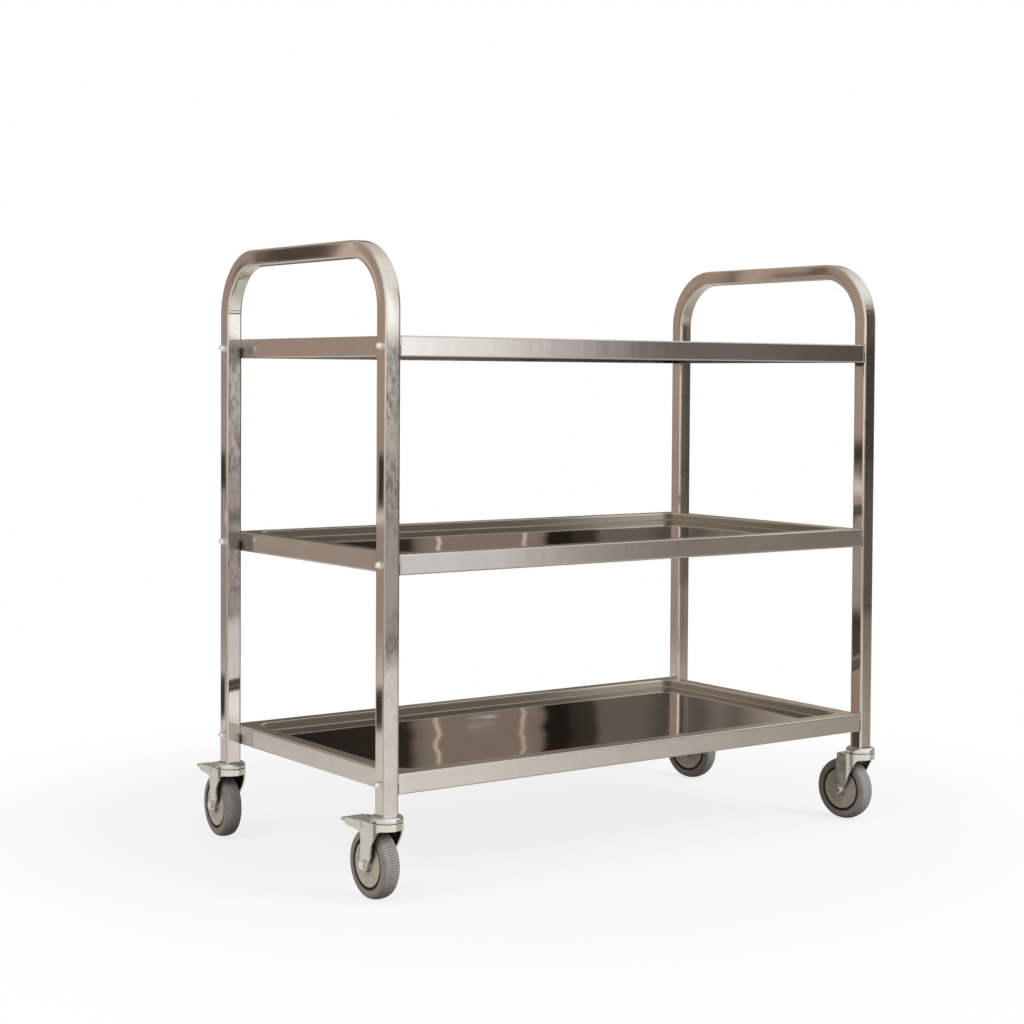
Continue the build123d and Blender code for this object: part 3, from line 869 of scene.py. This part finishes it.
@dataclass
class Wheels:
    """The four wheels: a hub and a grey tyre with a fine zigzag tread."""

    radius: float = 51.0 * MM
    width: float = 28.0 * MM
    seat_radius: float = 35.0 * MM
    seat_half: float = 9.5 * MM
    flank_radius: float = 38.0 * MM
    flank_soft: float = 0.5 * MM
    crown: float = 3.0 * MM
    shoulder: float = 8.0 * MM
    shoulder_shares: Tuple[float, ...] = (0.0, 0.2, 0.4, 0.6, 0.8, 1.0)
    tread_depth: float = 0.5 * MM
    tread_half: float = 10.4 * MM
    tread_depths: Tuple[Span, ...] = ((0.88, 0.4), (0.74, 0.9), (0.55, 1.0), (0.28, 1.0))
    rib_arms: int = 6
    rib_width: float = 1.8 * MM
    rib_swing: float = 0.95 * MM
    rib_height: float = 1.0 * MM
    rib_count: int = 84
    steps: int = 128
    hub_face: float = 33.0 * MM
    hub_half: float = 12.5 * MM
    groove: float = 3.0 * MM
    dish: float = 1.2 * MM
    rim: float = 5.0 * MM
    boss: float = 10.0 * MM
    boss_half: float = 15.3 * MM
    bore: float = 6.05 * MM
    soft_edge: float = 0.35 * MM
    edge_lean: float = 0.4
    boss_fillet: float = 2.5
    rubber: Finish = WheelMoulding(
        "tyre_rubber", fresh=(0.25, 0.234, 0.216), dusty=(0.33, 0.31, 0.287), roughness=0.62,
        dark_span=(34.0 * MM, 37.4 * MM))
    plastic: Finish = WheelMoulding(
        "hub_plastic", fresh=(0.54, 0.495, 0.40), dusty=(0.61, 0.56, 0.46), roughness=0.48,
        skin_depth=0.012 * MM, dark_span=(32.9 * MM, 36.0 * MM))

    @property
    def arc(self) -> float:
        """Radius of the crowned tread's section."""
        half = self.width / 2
        return (half * half + self.crown * self.crown) / (2 * self.crown)

    @property
    def shoulder_place(self) -> Tuple[float, float]:
        """Middle of the rounded shoulder's arc, across the tyre and in radius."""
        middle, reach = self.width / 2 - self.shoulder, self.arc - self.shoulder
        return middle, self.radius - self.arc + math.sqrt(reach * reach - middle * middle)

    def tread_radius(self, x: float) -> float:
        """Radius of the tyre at a place across it, on its crown or on its shoulder.

        Args:
            x: Place across the tyre from its middle.

        Returns:
            The radius.
        """
        middle, level = self.shoulder_place
        joint = middle * self.arc / (self.arc - self.shoulder)
        if abs(x) > joint:
            return level + math.sqrt(self.shoulder ** 2 - (abs(x) - middle) ** 2)
        return self.radius - (self.arc - math.sqrt(self.arc * self.arc - x * x))

    def tyre_profile(self) -> List[Tuple[float, float]]:
        """Section of the tyre, from the seat over flank, shoulder and tread to the other side.

        Returns:
            Places across the tyre and radii.
        """
        half, soft = self.width / 2, self.flank_soft
        middle, level = self.shoulder_place
        full = math.acos((self.tread_half - middle) / self.shoulder)
        side = [(self.seat_half, self.seat_radius),
                (half - soft, self.flank_radius - self.edge_lean * soft),
                (half, self.flank_radius + soft)]
        for share in self.shoulder_shares:
            side.append((middle + self.shoulder * math.cos(share * full),
                         level + self.shoulder * math.sin(share * full)))
        for share, depth in self.tread_depths:
            x = share * self.tread_half
            side.append((x, self.tread_radius(x) - depth * self.tread_depth))
        other = [(-x, radius) for x, radius in reversed(side)]
        return [*side, (0.0, self.radius - self.tread_depth), *other]

    def zigzag_rib(self) -> bpy.types.Object:
        """Swing the columns of a strip aside, to a zigzag rib on the crowned tread, and repeat it around.

        Returns:
            All ribs as one piece around the origin.
        """
        deselect_all()
        bpy.ops.mesh.primitive_grid_add(x_subdivisions=self.rib_arms, y_subdivisions=1, size=1.0)
        ribs = bpy.context.object
        edit_all()
        bpy.ops.transform.resize(value=(2 * self.tread_half, self.rib_width, 1.0))
        end_edit()
        columns = sorted({round(v.co.x, COLUMN_DIGITS) for v in ribs.data.vertices})
        for index, column in enumerate(columns):
            bpy.ops.object.mode_set(mode="EDIT")
            bpy.ops.mesh.select_all(action="DESELECT")
            end_edit()
            for vertex in ribs.data.vertices:
                vertex.select = abs(vertex.co.x - column) < COLUMN_REACH
            bpy.ops.object.mode_set(mode="EDIT")
            aside = (0.0, self.rib_swing * (-1) ** index, self.tread_radius(column))
            bpy.ops.transform.translate(value=aside)
            end_edit()
        edit_all()
        down = (0.0, 0.0, -self.rib_height)
        bpy.ops.mesh.extrude_region_move(TRANSFORM_OT_translate={"value": down})
        bpy.ops.mesh.select_all(action="SELECT")
        bpy.ops.mesh.normals_make_consistent(inside=False)
        turn = FULL_TURN * (1.0 - 1.0 / self.rib_count)
        bpy.ops.mesh.spin(steps=self.rib_count - 1, dupli=True, angle=turn, center=(0.0, 0.0, 0.0),
                          axis=(1.0, 0.0, 0.0))
        end_edit()
        return ribs

    def tyre(self) -> bpy.types.Object:
        """Model the tyre around the origin.

        Returns:
            The tyre with its tread.
        """
        tyre = spun_profile("tyre", self.tyre_profile(), self.steps)
        write_attribute(tyre, "rib", [0.0] * len(tyre.data.vertices))
        ribs = self.zigzag_rib()
        sunk = self.rib_height - self.tread_depth / 2
        write_attribute(ribs, "rib", [
            float(math.hypot(v.co.y, v.co.z) > self.tread_radius(v.co.x) - sunk)
            for v in ribs.data.vertices])
        deselect_all()
        ribs.select_set(True)
        tyre.select_set(True)
        bpy.context.view_layer.objects.active = tyre
        bpy.ops.object.join()
        smooth_shade(tyre)
        write_radius(tyre)
        return tyre

    def hub(self) -> bpy.types.Object:
        """Model the hub around the origin.

        Returns:
            The hub with its dished faces.
        """
        face, soft = self.hub_half, self.soft_edge
        dish = face - self.dish
        inner = self.hub_face - self.rim
        side = [(self.boss_half, self.bore), (self.boss_half, self.boss - soft),
                (self.boss_half - soft, self.boss), (dish + 2 * soft, self.boss + self.edge_lean * soft),
                (dish, self.boss + self.boss_fillet * soft), (dish, inner - self.dish),
                (face - soft, inner - soft), (face, inner + soft),
                (face, self.hub_face - soft), (face - soft, self.hub_face),
                (face - self.groove, self.hub_face), (face - self.groove, self.seat_radius)]
        other = [(-x, radius) for x, radius in reversed(side)]
        hub = spun_profile("hub", [*side, *other], self.steps)
        smooth_shade(hub)
        write_radius(hub)
        write_attribute(hub, "rib", [0.0] * len(hub.data.vertices))
        return hub

    def build(self) -> None:
        """Model one wheel and set a copy of it on each caster's axle."""
        spins = {joint["name"]: joint for joint in frame["joints"]}
        models = {"tyre": (self.tyre(), self.rubber, "tyre_rubber"),
                  "wheel_hub": (self.hub(), self.plastic, "hub_plastic")}
        for corner in Corner:
            joint = spins[corner.value + "_wheel_spin"]
            axle = Vector(joint["axis"])
            place = Matrix.Translation(joint["pos_m"]) @ Matrix.Rotation(math.atan2(axle.y, axle.x), 4, "Z")
            for part, (model, finish, slot) in models.items():
                node = corner.value + "_" + part
                mesh = model.data.copy()
                mesh.transform(place)
                mesh.materials.clear()
                mesh.materials.append(finish.material())
                piece = bpy.data.objects.new(node + "_moulded", mesh)
                bpy.context.scene.collection.objects.link(piece)
                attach(piece, corner.value + "_wheel")
                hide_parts(node)
                LOG.info("%s: %s", piece.name, finish.name)
        for model, _finish, _slot in models.values():
            bpy.data.objects.remove(model)


@dataclass
class Casters:
    """Swivels, forks, axles and brakes of the four casters."""

    fork: Finish = PlatedSteel(
        "fork_zinc", bright=(0.82, 0.85, 0.81), dull=(0.67, 0.70, 0.66), roughness=0.24,
        spangle=Grain(420.0, 3.0, 0.6), dent=0.006 * MM, hollow=30.0 * MM)
    cap: Finish = PlatedSteel(
        "cap_chrome", bright=(0.74, 0.76, 0.77), dull=(0.64, 0.66, 0.66), roughness=0.24, variation=0.06,
        dent=0.006 * MM)
    zinc: Finish = PlatedSteel(
        "axle_zinc", bright=(0.88, 0.93, 0.95), dull=(0.66, 0.72, 0.74), roughness=0.2)
    bearing: Finish = PlatedSteel(
        "bearing_steel", bright=(0.52, 0.52, 0.51), dull=(0.38, 0.38, 0.37), roughness=0.2)
    pedal: Finish = PlatedSteel(
        "pedal_steel", bright=(0.62, 0.64, 0.60), dull=(0.50, 0.52, 0.48), roughness=0.4, metal=0.4)
    socket: Finish = Moulded("socket_plastic", fresh=(0.03, 0.03, 0.03), dusty=(0.05, 0.05, 0.05))
    pad: Finish = Moulded(
        "pad_rubber", fresh=(0.02, 0.02, 0.02), dusty=(0.05, 0.048, 0.045), roughness=0.75)

    def dress(self) -> None:
        """Finish every piece of the four casters."""
        pieces = {"stem_socket": self.socket, "swivel_stem": self.zinc, "swivel_cap": self.cap,
                  "swivel_balls": self.bearing, "axle_bolt": self.zinc, "axle_nut": self.zinc,
                  "axle_sleeve": self.bearing, "fork": self.fork}
        brake = {"brake_pin": self.fork, "brake_pedal": self.pedal, "brake_pad": self.pad}
        for corner in Corner:
            for piece, finish in {**pieces, **(brake if corner.braked else {})}.items():
                dress_node(corner.value + "_" + piece, finish)


@dataclass(frozen=True)
class Tone:
    """Tone of the surround in one direction, which the steel mirrors."""

    azimuth: float
    colour: Colour


@dataclass(frozen=True)
class Layer:
    """Floor or ceiling of the surround, which fades in from one elevation to another, in degrees."""

    start: float
    full: float
    share: float
    tones: Sequence[Tone]


@dataclass(frozen=True)
class Card:
    """A dark or bright card in front of the surround, by its middle and half sizes in degrees."""

    azimuth: float
    half_width: float
    elevation: float
    half_height: float
    colour: Colour


@dataclass
class Surround:
    """Far brown dome all around, which lights nothing and is only mirrored."""

    radius: float = 300.0
    segments: int = 96
    rings: int = 48
    card_soft: float = 0.2
    wall: Sequence[Tone] = (
        Tone(-180.0, (0.98, 0.92, 0.84)), Tone(-140.0, (1.09, 1.04, 0.96)),
        Tone(-100.0, (1.00, 0.95, 0.91)), Tone(-64.0, (1.38, 1.36, 1.34)),
        Tone(-43.0, (0.14, 0.114, 0.094)), Tone(-20.0, (0.55, 0.46, 0.38)),
        Tone(20.0, (0.26, 0.21, 0.17)), Tone(44.0, (0.42, 0.36, 0.31)),
        Tone(66.0, (0.30, 0.235, 0.19)), Tone(116.0, (0.46, 0.347, 0.278)),
        Tone(140.0, (0.50, 0.375, 0.30)), Tone(150.0, (0.80, 0.72, 0.64)),
        Tone(180.0, (0.98, 0.92, 0.84)))
    front_strip: Sequence[Tone] = (
        Tone(-64.0, (1.38, 1.36, 1.34)), Tone(-58.0, (1.48, 1.455, 1.43)),
        Tone(-57.2, (1.36, 1.33, 1.30)), Tone(-56.4, (1.20, 1.165, 1.13)),
        Tone(-55.0, (1.10, 1.055, 1.01)), Tone(-54.2, (0.86, 0.81, 0.76)),
        Tone(-53.2, (0.77, 0.71, 0.655)), Tone(-52.5, (0.58, 0.52, 0.47)),
        Tone(-51.3, (0.36, 0.315, 0.28)), Tone(-50.5, (0.16, 0.137, 0.122)),
        Tone(-49.6, (0.12, 0.102, 0.09)), Tone(-48.9, (0.15, 0.128, 0.113)),
        Tone(-48.2, (0.33, 0.285, 0.25)), Tone(-47.6, (0.15, 0.126, 0.108)),
        Tone(-46.6, (0.19, 0.16, 0.138)), Tone(-45.6, (0.115, 0.094, 0.078)),
        Tone(-43.0, (0.14, 0.114, 0.094)))
    rear_strip: Sequence[Tone] = (
        Tone(44.0, (0.42, 0.36, 0.31)), Tone(46.4, (0.38, 0.315, 0.265)),
        Tone(47.2, (0.25, 0.20, 0.165)), Tone(47.8, (0.14, 0.112, 0.09)),
        Tone(48.3, (0.20, 0.16, 0.13)), Tone(48.9, (0.11, 0.087, 0.07)),
        Tone(49.4, (0.145, 0.116, 0.094)), Tone(49.9, (0.085, 0.067, 0.054)),
        Tone(50.5, (0.14, 0.111, 0.09)), Tone(51.75, (0.145, 0.115, 0.093)),
        Tone(51.95, (0.045, 0.035, 0.028)), Tone(52.55, (0.035, 0.027, 0.021)),
        Tone(52.7, (0.016, 0.012, 0.009)), Tone(53.3, (0.016, 0.012, 0.009)),
        Tone(53.5, (0.20, 0.157, 0.127)), Tone(53.8, (0.22, 0.172, 0.138)),
        Tone(56.8, (0.225, 0.176, 0.142)), Tone(57.1, (0.17, 0.134, 0.108)),
        Tone(57.35, (0.03, 0.024, 0.018)), Tone(61.5, (0.022, 0.017, 0.013)),
        Tone(66.0, (0.30, 0.235, 0.19)))
    far_floor: Layer = Layer(-0.4, -4.4, 0.55, (
        Tone(-180.0, (0.40, 0.325, 0.275)), Tone(180.0, (0.40, 0.325, 0.275))))
    near_floor: Layer = Layer(-6.8, -9.8, 0.85, (
        Tone(-180.0, (0.90, 0.85, 0.79)), Tone(-66.0, (1.00, 0.96, 0.91)),
        Tone(-57.0, (0.96, 0.92, 0.87)), Tone(-50.0, (0.74, 0.68, 0.61)),
        Tone(-44.0, (0.48, 0.42, 0.35)), Tone(-30.0, (0.60, 0.53, 0.46)),
        Tone(60.0, (0.80, 0.74, 0.67)), Tone(116.0, (0.80, 0.74, 0.68)),
        Tone(124.0, (0.92, 0.87, 0.80)), Tone(180.0, (0.90, 0.85, 0.79))))
    ceiling: Layer = Layer(13.0, 36.0, 0.85, (
        Tone(-180.0, (0.78, 0.71, 0.64)), Tone(-100.0, (1.10, 1.08, 1.03)),
        Tone(-60.0, (1.26, 1.245, 1.20)), Tone(0.0, (1.22, 1.20, 1.14)),
        Tone(45.0, (0.80, 0.74, 0.66)), Tone(95.0, (0.58, 0.51, 0.44)),
        Tone(150.0, (0.64, 0.57, 0.50)), Tone(180.0, (0.78, 0.71, 0.64))))
    cards: Sequence[Card] = (
        Card(116.7, 2.0, -2.6, 0.5, (0.06, 0.046, 0.036)),
        Card(116.5, 1.8, -9.05, 0.62, (0.05, 0.038, 0.03)),
        Card(122.3, 1.3, -2.85, 0.71, (0.05, 0.038, 0.03)),
        Card(121.8, 1.7, -9.45, 0.65, (0.045, 0.034, 0.027)),
        Card(121.5, 3.5, -3.9, 0.2, (0.85, 0.76, 0.66)), Card(121.8, 1.7, -8.6, 0.14, (0.75, 0.65, 0.56)),
        Card(135.5, 2.5, -2.1, 0.5, (0.11, 0.088, 0.07)),
        Card(135.5, 2.5, -2.1, 0.17, (0.02, 0.016, 0.012)),
        Card(135.5, 2.5, -2.85, 0.17, (1.05, 0.95, 0.84)),
        Card(135.5, 2.5, -7.05, 0.56, (0.02, 0.016, 0.013)),
        Card(148.0, 14.4, -17.6, 10.7, (0.085, 0.07, 0.055)),
        Card(119.5, 1.2, 3.7, 1.05, (0.10, 0.08, 0.065)), Card(121.0, 0.3, 3.7, 1.4, (0.86, 0.70, 0.58)),
        Card(131.8, 0.22, 3.7, 2.2, (0.20, 0.155, 0.125)), Card(132.3, 0.2, 3.7, 2.2, (0.66, 0.53, 0.44)),
        Card(133.6, 0.55, 3.0, 0.6, (0.28, 0.22, 0.18)), Card(134.3, 0.3, 3.4, 0.9, (0.15, 0.118, 0.094)),
        Card(56.5, 0.05, 7.6, 3.8, (0.70, 0.55, 0.42)), Card(54.0, 0.05, 7.4, 3.6, (0.62, 0.46, 0.34)),
        Card(55.26, 0.4, 9.45, 0.12, (0.95, 0.90, 0.83)),
        Card(-57.5, 3.5, -5.0, 2.0, (0.86, 0.845, 0.835)))

    def build(self) -> None:
        """Set up the dome around the trolley."""
        deselect_all()
        bpy.ops.mesh.primitive_uv_sphere_add(
            segments=self.segments, ring_count=self.rings, radius=self.radius)
        dome = bpy.context.object
        dome.name = "surround"
        dome.visible_camera = dome.visible_diffuse = dome.visible_shadow = False
        material, graph = new_material("surround_wall")
        material.cycles.emission_sampling = "NONE"
        graph.show(graph.shader("ShaderNodeEmission", self.colour(graph)))
        dome.data.materials.append(material)

    def colour(self, graph: NodeGraph) -> Socket:
        """Wall tones, with the narrow strips, floor, ceiling and cards laid over them.

        Args:
            graph: Node tree of the surround.

        Returns:
            The colour.
        """
        x, y, z = graph.split(graph.place())
        turn = graph.math("ARCTAN2", y, x)
        rise = graph.math("ARCTAN2", z, graph.length(graph.join(x, y, 0.0)))
        colour = self.strip_colour(graph, self.wall, turn)
        for strip in (self.front_strip, self.rear_strip):
            inside = graph.times(graph.math("GREATER_THAN", turn, math.radians(strip[0].azimuth)),
                                 graph.math("LESS_THAN", turn, math.radians(strip[-1].azimuth)))
            colour = graph.blend(inside, colour, self.strip_colour(graph, strip, turn))
        for layer in (self.far_floor, self.near_floor, self.ceiling):
            start, full = math.radians(layer.start), math.radians(layer.full)
            covered = graph.spread(rise, start, full, 0.0, layer.share, smooth=True)
            colour = graph.blend(covered, colour, self.strip_colour(graph, layer.tones, turn))
        for card in self.cards:
            colour = graph.blend(self.card_share(graph, card, turn, rise), colour, card.colour)
        return colour

    def strip_colour(self, graph: NodeGraph, strip: Sequence[Tone], turn: Socket) -> Socket:
        """Tones along a strip of the surround, on a ramp of its own so that narrow tones stay sharp.

        Args:
            graph: Node tree of the surround.
            strip: Tones in rising azimuth.
            turn: Azimuth in radians.

        Returns:
            The colour.
        """
        low, high = strip[0].azimuth, strip[-1].azimuth
        share = graph.spread(turn, math.radians(low), math.radians(high))
        return graph.ramp(share, [((tone.azimuth - low) / (high - low), tone.colour) for tone in strip])

    def card_share(self, graph: NodeGraph, card: Card, turn: Socket, rise: Socket) -> Socket:
        """Where one card covers the surround.

        Args:
            graph: Node tree of the surround.
            card: The card.
            turn: Azimuth in radians.
            rise: Elevation in radians.

        Returns:
            Share of the card, from 0 to 1.
        """
        soft = min(self.card_soft, card.half_width)
        covers = []
        for angle, middle, half, edge in ((turn, card.azimuth, card.half_width, soft),
                                          (rise, card.elevation, card.half_height, soft / 2)):
            away = graph.math("ABSOLUTE", graph.minus(angle, math.radians(middle)))
            outer, inner = math.radians(half + edge), math.radians(half - edge)
            covers.append(graph.spread(away, outer, inner, smooth=True))
        return graph.times(*covers)


@dataclass(frozen=True)
class Lamp:
    """A square soft lamp: its name, place, side and power in watts."""

    name: str
    place: Tuple[float, float, float]
    size: float
    power: float


@dataclass
class Studio:
    """White room with a pale floor and soft light around the trolley, and the camera."""

    centre: Tuple[float, float]
    ambient: float = 0.5
    ambient_colour: Colour = (1.0, 0.99, 0.98)
    floor_sides: int = 96
    floor_radius: float = 1.2
    floor_clear: float = 0.6
    floor_colour: Colour = (0.56, 0.53, 0.50)
    floor_pale: Colour = (0.95, 0.945, 0.94)
    floor_white: float = 0.78
    lamps: Sequence[Lamp] = (
        Lamp("key_lamp", (1.9, -3.6, 2.9), 2.4, 112.0), Lamp("fill_lamp", (-3.6, -0.6, 2.8), 2.0, 42.0))
    lamp_target: Tuple[float, float, float] = (0.0, 0.0, 0.45)
    camera_place: Tuple[float, float, float] = (-1.95490, -2.60605, 0.74340)
    camera_yaw: float = 0.6218
    camera_pitch: float = 0.0319
    camera_roll: float = 0.0062
    camera_sensor: float = 36.0
    camera_lens: float = 70.07
    camera_shift: float = -0.0695

    def build(self) -> None:
        """Set up view, world, floor, surround, lamps and camera."""
        bpy.context.scene.view_settings.view_transform = "Standard"
        self.set_world()
        self.set_floor()
        Surround().build()
        for lamp in self.lamps:
            self.set_lamp(lamp)
        self.set_camera()

    def seen_directly(self, graph: NodeGraph) -> Socket:
        """One for rays from the camera, metal and glass, and zero for the light that falls on things."""
        light_path = graph.node("ShaderNodeLightPath")
        seen = graph.plus(light_path.outputs["Is Camera Ray"], light_path.outputs["Is Glossy Ray"])
        seen = graph.plus(seen, light_path.outputs["Is Transmission Ray"])
        return graph.math("MINIMUM", seen, 1.0)

    def set_world(self) -> None:
        """Even soft light, seen as plain white by camera, metal and glass."""
        world = bpy.data.worlds.new("white_room")
        bpy.context.scene.world = world
        world.use_nodes = True
        graph = NodeGraph(world.node_tree)
        ambient = graph.shader("ShaderNodeBackground", self.ambient_colour, self.ambient)
        white = graph.shader("ShaderNodeBackground", WHITE)
        graph.show(graph.mix(self.seen_directly(graph), ambient, white), "ShaderNodeOutputWorld")

    def set_floor(self) -> None:
        """Pale floor that fades into the white room around the trolley."""
        deselect_all()
        bpy.ops.mesh.primitive_circle_add(
            vertices=self.floor_sides, radius=self.floor_radius, fill_type="NGON")
        floor = bpy.context.object
        floor.name = "floor"
        floor.visible_glossy = False
        material, graph = new_material("pale_floor")
        lit = graph.shader("ShaderNodeBsdfDiffuse", self.floor_colour)
        shaded = graph.shader("ShaderNodeBsdfDiffuse", self.floor_pale)
        seen = graph.mix(self.floor_white, shaded, graph.shader("ShaderNodeEmission", WHITE))
        pale = graph.mix(self.seen_directly(graph), lit, seen)
        reach = graph.length(graph.place())
        fade = graph.spread(reach, self.floor_clear, self.floor_radius, smooth=True)
        graph.show(graph.mix(fade, pale, graph.shader("ShaderNodeBsdfTransparent", WHITE)))
        floor.data.materials.append(material)

    def set_lamp(self, lamp: Lamp) -> None:
        """Hang one lamp so that it faces the trolley.

        Args:
            lamp: The lamp.
        """
        light = bpy.data.lights.new(lamp.name, "AREA")
        light.shape, light.size, light.energy = "SQUARE", lamp.size, lamp.power
        made = bpy.data.objects.new(lamp.name, light)
        made.location = lamp.place
        made.visible_glossy = False
        ahead = Vector(self.lamp_target) - Vector(lamp.place)
        made.rotation_euler = ahead.to_track_quat("-Z", "Y").to_euler()
        bpy.context.scene.collection.objects.link(made)

    def set_camera(self) -> None:
        """Camera at the photograph's place."""
        yaw, pitch, roll = self.camera_yaw, self.camera_pitch, self.camera_roll
        ahead = Vector((math.sin(yaw) * math.cos(pitch), math.cos(yaw) * math.cos(pitch), -math.sin(pitch)))
        right = Vector((math.cos(yaw), -math.sin(yaw), 0.0))
        above = right.cross(ahead)
        turned = right * math.cos(roll) + above * math.sin(roll)
        upright = above * math.cos(roll) - right * math.sin(roll)
        axes = Matrix((turned, upright, -ahead)).transposed().to_4x4()
        data = bpy.data.cameras.new("camera")
        data.sensor_width, data.lens, data.shift_y = self.camera_sensor, self.camera_lens, self.camera_shift
        camera = bpy.data.objects.new("camera", data)
        place = Vector(self.camera_place) + Vector((*self.centre, 0.0))
        camera.matrix_world = Matrix.Translation(place) @ axes
        bpy.context.scene.collection.objects.link(camera)
        bpy.context.scene.camera = camera


def main() -> None:
    """Build the trolley's looks and its studio."""
    logging.basicConfig(level=logging.INFO, format="%(message)s")
    frames = EndFrames()
    frames.build()
    Studio(frames.centre).build()
    frames.dress()
    Trays().dress()
    Wheels().build()
    Casters().dress()


if __name__ == "__main__":
    main()
